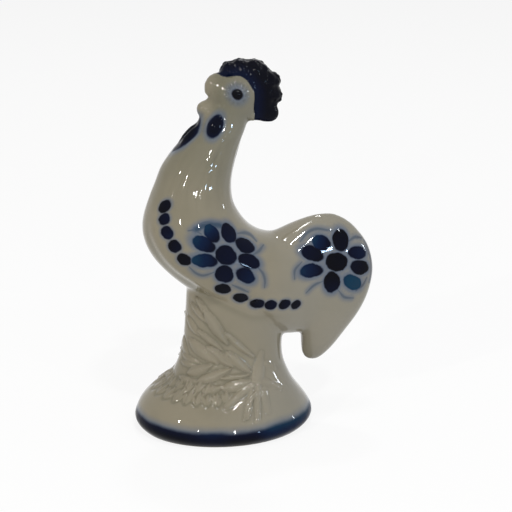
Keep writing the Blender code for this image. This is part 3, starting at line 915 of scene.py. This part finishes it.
# Linear colours of the glaze and its deeper, thinner and cooler copies, which also serve as painted
# shade, painted light and painted cool light, the thin blue round the brushwork and the bare clay
GLAZE = (0.219, 0.193, 0.136)
GLAZE_POOLED_AND_SHADED = (0.104, 0.100, 0.064)
GLAZE_THIN_AND_LIT = (0.250, 0.226, 0.172)
GLAZE_COOL_LIT = (0.232, 0.220, 0.184)
WASH = (0.070, 0.098, 0.150)
BISCUIT = (0.40, 0.37, 0.31)
# Cobalt by its shade, from a pooled near-black to a thin teal blue and a grey blue
COBALT = [
    (0.0, (0.0006, 0.0008, 0.0030)),
    (0.25, (0.0006, 0.0022, 0.0130)),
    (0.5, (0.0012, 0.0085, 0.0340)),
    (0.78, (0.0040, 0.0300, 0.0620)),
    (1.0, (0.018, 0.034, 0.056)),
]
# How much each kind of stroke covers
TENDRIL_STRENGTH = 0.42
SMEAR_STRENGTH = 0.66
HALO_STRENGTH = 0.8
WASH_STRENGTH = 0.85
# A stroke's edge wanders by this, in metres, and a painted form's by this, in millimetres
STROKE_TREMBLE = 0.0016
FORM_TREMBLE = 0.9
DAB_EDGE = 0.38
DAB_DEPTH = 9.0
DAB_DIRECTIONS = ("Along", "Across", "Outward")
# The cobalt shines less than the clear glaze, whose coat has full reflectance
PAINTED_REFLECTANCE = 0.08
GLAZE_COAT = 0.62
COAT_ROUGHNESS = 0.035
GLAZE_IOR = 1.5
BISCUIT_ROUGHNESS = 0.75
BUMP_STRENGTH = 0.6
BUMP_DISTANCE = 0.00015


def link(tree, source, target):
    tree.links.new(source, target)


def node(tree, kind, **settings):
    made = tree.nodes.new(kind)
    for name, value in settings.items():
        setattr(made, name, value)
    return made


def feed(tree, sockets, values):
    """Give each socket its value, or a link where the value is another node's output."""
    for socket, value in zip(sockets, values):
        if isinstance(value, bpy.types.NodeSocket):
            link(tree, value, socket)
        else:
            socket.default_value = (*value, 1.0) if socket.type == "RGBA" else value


def math_node(tree, operation, *values):
    made = node(tree, "ShaderNodeMath", operation=operation)
    feed(tree, made.inputs, values)
    return made.outputs[0]


def vector_node(tree, operation, *values):
    made = node(tree, "ShaderNodeVectorMath", operation=operation)
    feed(tree, made.inputs, values)
    return made.outputs["Value" if operation in ("LENGTH", "DOT_PRODUCT") else "Vector"]


def map_range(tree, value, low, high, to_low=0.0, to_high=1.0):
    """A smooth step from to_low to to_high while the value goes from low to high."""
    made = node(tree, "ShaderNodeMapRange", clamp=True, interpolation_type="SMOOTHSTEP")
    feed(tree, made.inputs, (value, low, high, to_low, to_high))
    return made.outputs[0]


def mix_value(tree, factor, first, second):
    made = node(tree, "ShaderNodeMix", data_type="FLOAT")
    feed(tree, [made.inputs[k] for k in (0, 2, 3)], (factor, first, second))
    return made.outputs[0]


def mix_colour(tree, factor, first, second):
    made = node(tree, "ShaderNodeMix", data_type="RGBA")
    feed(tree, [made.inputs[k] for k in (0, 6, 7)], (factor, first, second))
    return made.outputs[2]


def noise_node(tree, place, scale, detail=2.0):
    made = node(tree, "ShaderNodeTexNoise")
    sockets = [made.inputs[name] for name in ("Vector", "Scale", "Detail")]
    feed(tree, sockets, (place, scale, detail))
    return made.outputs


def read_field(tree, name):
    """A value that the mesh keeps at each of its points."""
    return node(tree, "ShaderNodeAttribute", attribute_name=name).outputs["Fac"]


def gathered(tree, x, y, z):
    made = node(tree, "ShaderNodeCombineXYZ")
    feed(tree, made.inputs, (x, y, z))
    return made.outputs[0]


def brush_dab_group():
    """One touch of the brush: it lays paint and its shade over what is below."""
    group = bpy.data.node_groups.new("brush dab", "ShaderNodeTree")
    for way, kind, names in (
        ("INPUT", "NodeSocketVector", ("Place", "Middle", *DAB_DIRECTIONS)),
        ("INPUT", "NodeSocketFloat", ("Edge", "Shade", "Fade", "Paint Below", "Shade Below")),
        ("OUTPUT", "NodeSocketFloat", ("Paint", "Shade")),
    ):
        for name in names:
            group.interface.new_socket(name, in_out=way, socket_type=kind)
    entry = node(group, "NodeGroupInput").outputs
    leave = node(group, "NodeGroupOutput").inputs
    offset = vector_node(group, "SUBTRACT", entry["Place"], entry["Middle"])
    parts = [vector_node(group, "DOT_PRODUCT", offset, entry[name]) for name in DAB_DIRECTIONS]
    reach = vector_node(group, "LENGTH", gathered(group, *parts))
    inner = math_node(group, "SUBTRACT", 1.0, entry["Edge"])
    outer = math_node(group, "ADD", 1.0, entry["Edge"])
    mask = map_range(group, reach, inner, outer, 1.0, 0.0)
    shade = math_node(group, "MULTIPLY_ADD", parts[0], entry["Fade"], entry["Shade"])
    pooled = map_range(group, reach, 0.55, 1.0, 0.0, -0.07)
    shade = math_node(group, "ADD", shade, pooled)
    link(group, math_node(group, "MAXIMUM", entry["Paint Below"], mask), leave["Paint"])
    link(group, mix_value(group, mask, entry["Shade Below"], shade), leave["Shade"])
    return group


def dab_on(surface, dab):
    """Where a dab lies on the skin: its middle and its three scaled directions."""
    spot, normal = side_view(surface, dab.x, dab.z)
    steady = Vector((0, 0, 0))
    for dx in (-2.5, 0, 2.5):
        for dz in (-2.5, 0, 2.5):
            steady += side_view(surface, dab.x + dx, dab.z + dz)[1]
    normal = steady.normalized() if steady.length > 0.1 else normal
    ahead = Vector((0, 0, 1)).cross(normal).normalized()
    above = normal.cross(ahead)
    turn = math.radians(dab.turn)
    along = ahead * math.cos(turn) + above * math.sin(turn)
    across = above * math.cos(turn) - ahead * math.sin(turn)
    return {
        "Middle": at(spot.x, spot.y, spot.z),
        "Along": along * 2 / (dab.length * MM),
        "Across": across * 2 / (dab.width * MM),
        "Outward": normal / (DAB_DEPTH * MM),
        "Edge": DAB_EDGE / (dab.width / 2),
        "Shade": dab.shade,
        "Fade": dab.fade,
    }


def cobalt(tree, shade):
    colours = node(tree, "ShaderNodeValToRGB")
    stops = colours.color_ramp.elements
    for position, _ in COBALT[1:-1]:
        stops.new(position)
    for stop, (position, colour) in zip(stops, COBALT):
        stop.position = position
        stop.color = (*colour, 1)
    link(tree, shade, colours.inputs[0])
    return colours.outputs[0]


def painting(tree, surface, place, x, y, z):
    """The brushwork: where paint lies, its shade, and the thin blue wash round it."""
    # Both sides carry the same strokes, so they are laid out on the near side alone
    folded = gathered(tree, x, math_node(tree, "MULTIPLY", math_node(tree, "ABSOLUTE", y), -1.0), z)
    # The edge of a stroke wanders with the hand
    tremble = noise_node(tree, place, 260)
    centred = vector_node(tree, "SUBTRACT", tremble["Color"], (0.5, 0.5, 0.5))
    near = vector_node(tree, "MULTIPLY_ADD", centred, (STROKE_TREMBLE,) * 3, folded)

    # Thin strokes of the brush tip come first, the dabs lie over them
    group = brush_dab_group()
    across = math_node(tree, "ABSOLUTE", read_field(tree, "stroke_aside"))
    ends = map_range(tree, read_field(tree, "stroke_gap"), 1.2, 1.9, 1.0, 0.0)
    paint = map_range(tree, across, 0.25, 1.5, TENDRIL_STRENGTH, 0.0)
    paint = math_node(tree, "MULTIPLY", paint, ends)
    smear = math_node(tree, "MULTIPLY", read_field(tree, "smear"), SMEAR_STRENGTH)
    paint = math_node(tree, "MAXIMUM", paint, smear)
    shade = map_range(tree, x, (62 + BASE_X) * MM, (66 + BASE_X) * MM, 0.80, 0.22)
    for dab in DOTS + WING_FLOWER + TAIL_FLOWER:
        touch = node(tree, "ShaderNodeGroup", node_tree=group)
        laid = {"Place": near, "Paint Below": paint, "Shade Below": shade, **dab_on(surface, dab)}
        feed(tree, [touch.inputs[name] for name in laid], laid.values())
        paint, shade = touch.outputs
    wash = read_field(tree, "wash")

    # The comb, lobes, wattles and eyes are painted by depth inside their forms
    for name, soft, depths, shades, halo in (
        ("comb_depth", 0.25, (1.0, 6.5), (0.30, 0.03), 0.0),
        ("lobe_depth", 0.45, (0.0, 1.8), (0.30, 0.10), 2.2),
        ("wattle_depth", 0.5, (0.0, 2.0), (0.30, 0.06), 2.4),
        ("eye_depth", 0.45, (0.0, 1.0), (0.0, 0.0), 4.6),
    ):
        wander = math_node(tree, "MULTIPLY_ADD", tremble["Fac"], FORM_TREMBLE, -FORM_TREMBLE / 2)
        depth = math_node(tree, "ADD", read_field(tree, name), wander)
        mask = map_range(tree, depth, -soft, soft)
        shade = mix_value(tree, mask, shade, map_range(tree, depth, *depths, *shades))
        paint = math_node(tree, "MAXIMUM", paint, mask)
        if halo:
            rising = map_range(tree, depth, -halo, 0.0, 0.0, HALO_STRENGTH)
            wash = math_node(tree, "MAXIMUM", wash, rising)

    # The foot of the base is dipped in cobalt, which bleeds upwards
    bleed = noise_node(tree, place, 45, 3.0)["Fac"]
    level_of = math_node(tree, "MULTIPLY_ADD", bleed, -0.0040, z)
    rim = map_range(tree, level_of, 0.0052, 0.0078, 1.0, 0.0)
    bleeding = map_range(tree, level_of, 0.0060, 0.0102, 0.85, 0.0)
    banks = noise_node(tree, place, 26, 1.0)["Fac"]
    rim_shade = map_range(tree, banks, 0.42, 0.62, 0.02, 0.42)
    climb = map_range(tree, level_of, 0.0010, 0.0075, 0.0, 0.30)
    shade = mix_value(tree, rim, shade, math_node(tree, "ADD", rim_shade, climb))
    paint = math_node(tree, "MAXIMUM", paint, rim)
    return paint, shade, math_node(tree, "MAXIMUM", wash, bleeding)


def clear_glaze(tree, place, x, z, relief):
    """Glaze over white clay: deeper and greener where it pools, thin on the ridges; painted shade
    up the neck and in the furrows, painted light on the beak and the ridges, painted cool light
    towards the tail.
    """
    clouds = noise_node(tree, place, 38, 3.0)["Fac"]
    pooled = math_node(tree, "MULTIPLY", map_range(tree, clouds, 0.40, 0.75), 0.22)
    # Painted shade: the glaze darkens from the shoulders up through the neck and the back of the
    # head, and the beak is kept lighter as painted light
    ahead = map_range(tree, x, -0.024, -0.017, 1.0, 0.0)
    beak = math_node(tree, "MULTIPLY", ahead, map_range(tree, z, 0.148, 0.156))
    neck = map_range(tree, z, 0.098, 0.150, 0.0, 0.70)
    upper = math_node(tree, "MAXIMUM", math_node(tree, "MULTIPLY_ADD", beak, -0.55, neck), 0.0)
    glaze = mix_colour(tree, math_node(tree, "ADD", pooled, upper), GLAZE, GLAZE_POOLED_AND_SHADED)
    # Painted cool light: patches of cooler glaze, stronger towards the tail, stand in for a cool
    # light from that side
    cool_light_drift = math_node(tree, "MULTIPLY_ADD", noise_node(tree, place, 16)["Fac"], 0.09, x)
    glaze = mix_colour(tree, map_range(tree, cool_light_drift, 0.015, 0.065, 0.0, 0.55), glaze, GLAZE_COOL_LIT)
    # Painted shade in the furrows and creases, partly glaze pooling in them
    furrow_pool_and_shade = map_range(tree, relief, 0.05, -0.40, 0.0, 0.46)
    glaze = mix_colour(tree, furrow_pool_and_shade, glaze, GLAZE_POOLED_AND_SHADED)
    # Painted light on the ridges, partly glaze running thin over them
    return mix_colour(tree, map_range(tree, relief, 0.35, 1.2, 0.0, 0.30), glaze, GLAZE_THIN_AND_LIT)


def bare_clay(tree, place, z):
    """The foot ring and the recess inside it stay unglazed."""
    reach = [size / 2 - FOOT_UNDERCUT - FOOT_RING_WIDTH for size in (BASE_LENGTH, BASE_WIDTH)]
    scale = [1 / (half * MM) for half in reach]
    shift = (-BASE_X * MM * scale[0], 0, 0)
    inside = vector_node(tree, "MULTIPLY_ADD", place, (*scale, 0), shift)
    within = map_range(tree, vector_node(tree, "LENGTH", inside), 1.01, 1.05, 1.0, 0.0)
    low = map_range(tree, z, 0.0085, 0.0090, 1.0, 0.0)
    under = map_range(tree, z, 0.00025, 0.0006, 1.0, 0.0)
    return math_node(tree, "MAXIMUM", math_node(tree, "MULTIPLY", within, low), under)


def skin(tree, place, relief):
    """Slow ripples of the glaze, and fine pits on the comb, round the eye and on the leaves."""
    ripple = noise_node(tree, place, 190, 0.6)["Fac"]
    pits = noise_node(tree, place, 620, 1.0)["Fac"]
    eye = read_field(tree, "eye_depth")
    eye_inside = map_range(tree, eye, -0.8, 0.0, 1.0, 0.0)
    eye_ring = math_node(tree, "MULTIPLY", map_range(tree, eye, -4.0, -2.0), eye_inside)
    comb = map_range(tree, read_field(tree, "comb_depth"), 0.5, 3.0)
    lumpy = math_node(tree, "MAXIMUM", comb, eye_ring)
    lumpy = math_node(tree, "MAXIMUM", lumpy, map_range(tree, relief, 0.15, 0.8, 0.0, 0.55))
    height = math_node(tree, "MULTIPLY", math_node(tree, "MULTIPLY", lumpy, 1.1), pits)
    bump = node(tree, "ShaderNodeBump")
    bump.inputs["Strength"].default_value = BUMP_STRENGTH
    bump.inputs["Distance"].default_value = BUMP_DISTANCE
    link(tree, math_node(tree, "ADD", height, ripple), bump.inputs["Height"])
    return bump.outputs[0]


def glazed_porcelain(surface):
    material = bpy.data.materials.new("glazed_porcelain")
    material.use_nodes = True
    tree = material.node_tree
    shader = tree.nodes["Principled BSDF"].inputs
    place = node(tree, "ShaderNodeTexCoord").outputs["Object"]
    axes = node(tree, "ShaderNodeSeparateXYZ")
    link(tree, place, axes.inputs[0])
    x, y, z = axes.outputs
    relief = read_field(tree, "relief")

    paint, shade, wash = painting(tree, surface, place, x, y, z)
    glaze = clear_glaze(tree, place, x, z, relief)
    washed = mix_colour(tree, math_node(tree, "MULTIPLY", wash, WASH_STRENGTH), glaze, WASH)
    colour = mix_colour(tree, paint, washed, cobalt(tree, shade))
    bare = bare_clay(tree, place, z)
    link(tree, mix_colour(tree, bare, colour, BISCUIT), shader["Base Color"])
    gloss = map_range(tree, noise_node(tree, place, 700)["Fac"], 0.35, 0.7, 0.030, 0.060)
    matt = math_node(tree, "MULTIPLY", bare, BISCUIT_ROUGHNESS)
    link(tree, math_node(tree, "MAXIMUM", gloss, matt), shader["Roughness"])
    link(tree, skin(tree, place, relief), shader["Normal"])
    coat = map_range(tree, paint, 0.0, 0.9, GLAZE_COAT, 0.0)
    fired = math_node(tree, "SUBTRACT", 1.0, bare)
    link(tree, math_node(tree, "MULTIPLY", coat, fired), shader["Coat Weight"])
    shader["IOR"].default_value = GLAZE_IOR
    shader["Specular IOR Level"].default_value = PAINTED_REFLECTANCE
    shader["Coat Roughness"].default_value = COAT_ROUGHNESS
    shader["Coat IOR"].default_value = GLAZE_IOR
    return material


# --------------------------------------------------------------------- studio and view

# Light from all round, and how white the floor stands in the picture
WORLD_LIGHT = 0.36
FLOOR_GLOW = 0.85
FLOOR_SIZE = 12
LAMP_AIM = Vector((-0.005, 0, 0.095))
WARM = (1.0, 0.955, 0.88)
PALE = (1.0, 0.97, 0.92)
WHITE = (1.0, 1.0, 1.0)
COOL = (0.90, 0.95, 1.0)
COLD = (0.85, 0.92, 1.0)
BLUE = (0.50, 0.72, 1.0)
# Degrees from the camera's side, -Y, towards +X, degrees up, metres away, width and
# height, power and colour
LAMPS = {
    "window_left": (-56, 24, 1.5, (0.05, 0.11), 5.2, WARM),
    "window_near_left": (-30, 15, 1.5, (0.022, 0.07), 2.6, PALE),
    "window_front": (8, 14, 1.5, (0.014, 0.10), 1.7, WHITE),
    "window_high": (14, 56, 1.5, (0.12, 0.045), 5.0, WHITE),
    "window_right": (34, 26, 1.5, (0.035, 0.06), 1.3, COOL),
    "window_far_right": (82, 8, 1.6, (0.05, 0.20), 1.8, COLD),
    "window_low": (33, 3, 1.2, (0.05, 0.04), 0.8, BLUE),
    "skylight": (-20, 84, 1.8, (0.25, 0.25), 5.0, WHITE),
    "window_behind": (165, 62, 1.8, (0.2, 0.12), 5.0, WHITE),
}

# The camera, worked out from the oval of the base: degrees and metres, then pixels
CAMERA_YAW = -10.0
CAMERA_RISE = 17.5
CAMERA_DISTANCE = 0.600
CAMERA_TARGET_Z = 90
FOCAL = 1268.5
PICTURE = 512
TARGET_PIXEL = (224, 245.36)
SENSOR = 36.0


def seen_ray(tree):
    """1 for the rays that show the background, straight or in a reflection."""
    path = node(tree, "ShaderNodeLightPath").outputs
    seen = math_node(tree, "MAXIMUM", path["Is Camera Ray"], path["Is Glossy Ray"])
    return math_node(tree, "MAXIMUM", seen, path["Is Transmission Ray"])


def studio():
    scene = bpy.context.scene
    scene.view_settings.view_transform = "Standard"
    world = bpy.data.worlds.new("studio")
    scene.world = world
    world.use_nodes = True
    tree = world.node_tree
    light = tree.nodes["Background"].inputs
    light["Color"].default_value = (1.0, 1.0, 1.0, 1)
    link(tree, map_range(tree, seen_ray(tree), 0, 1, WORLD_LIGHT, 1.0), light["Strength"])

    start_clean()
    bpy.ops.mesh.primitive_plane_add(size=FLOOR_SIZE, location=(0, 0, 0))
    floor = bpy.context.object
    floor.name = "floor"
    paper = bpy.data.materials.new("pale floor")
    paper.use_nodes = True
    tree = paper.node_tree
    cloth = tree.nodes["Principled BSDF"]
    cloth.inputs["Base Color"].default_value = (0.90, 0.90, 0.90, 1)
    cloth.inputs["Roughness"].default_value = 0.9
    cloth.inputs["Specular IOR Level"].default_value = 0.0
    glow = node(tree, "ShaderNodeEmission")
    glow.inputs["Color"].default_value = (1, 1, 1, 1)
    glow.inputs["Strength"].default_value = 1.0
    blend = node(tree, "ShaderNodeMixShader")
    share = math_node(tree, "MULTIPLY", seen_ray(tree), FLOOR_GLOW)
    feed(tree, blend.inputs, (share, cloth.outputs[0], glow.outputs[0]))
    link(tree, blend.outputs[0], tree.nodes["Material Output"].inputs["Surface"])
    floor.data.materials.append(paper)


def towards(azimuth, elevation):
    """Unit direction at degrees from the camera's side, -Y, towards +X, and degrees up."""
    a, e = math.radians(azimuth), math.radians(elevation)
    return Vector((math.sin(a) * math.cos(e), -math.cos(a) * math.cos(e), math.sin(e)))


def lamp(name, azimuth, elevation, distance, size, power, colour):
    """A rectangular lamp that looks at the figure."""
    place = LAMP_AIM + distance * towards(azimuth, elevation)
    light = bpy.data.lights.new(name, "AREA")
    light.shape = "RECTANGLE"
    light.size, light.size_y = size
    light.energy = power
    light.color = colour
    holder = bpy.data.objects.new(name, light)
    bpy.context.scene.collection.objects.link(holder)
    holder.location = place
    holder.rotation_euler = (LAMP_AIM - place).to_track_quat("-Z", "Y").to_euler()


def aim_camera():
    """The camera stands where the photographer stood, and looks through the frame's middle."""
    yaw = math.radians(CAMERA_YAW)
    back = towards(CAMERA_YAW, CAMERA_RISE)
    right = Vector((math.cos(yaw), math.sin(yaw), 0))
    up = back.cross(right)
    stand = at(0, 0, CAMERA_TARGET_Z) + back * CAMERA_DISTANCE
    off_x, off_y = (PICTURE / 2 - pixel for pixel in TARGET_PIXEL)
    middle = (right * off_x / FOCAL - up * off_y / FOCAL - back).normalized()
    swing = (-back).rotation_difference(middle).to_matrix()
    axes = [swing @ v for v in (right, up, back)]
    camera = bpy.data.cameras.new("camera")
    camera.sensor_width = SENSOR
    camera.lens = SENSOR * FOCAL / PICTURE
    holder = bpy.data.objects.new("camera", camera)
    bpy.context.scene.collection.objects.link(holder)
    turn = Matrix(axes).transposed().to_4x4()
    holder.matrix_world = Matrix.Translation(stand) @ turn
    bpy.context.scene.camera = holder


rooster = model_rooster()
rooster.data.materials.clear()
rooster.data.materials.append(glazed_porcelain(surface_of(rooster)))
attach(rooster, "root")
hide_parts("rooster")
print("triangles", sum(len(face.vertices) - 2 for face in rooster.data.polygons))
studio()
for name, settings in LAMPS.items():
    lamp(name, *settings)
aim_camera()
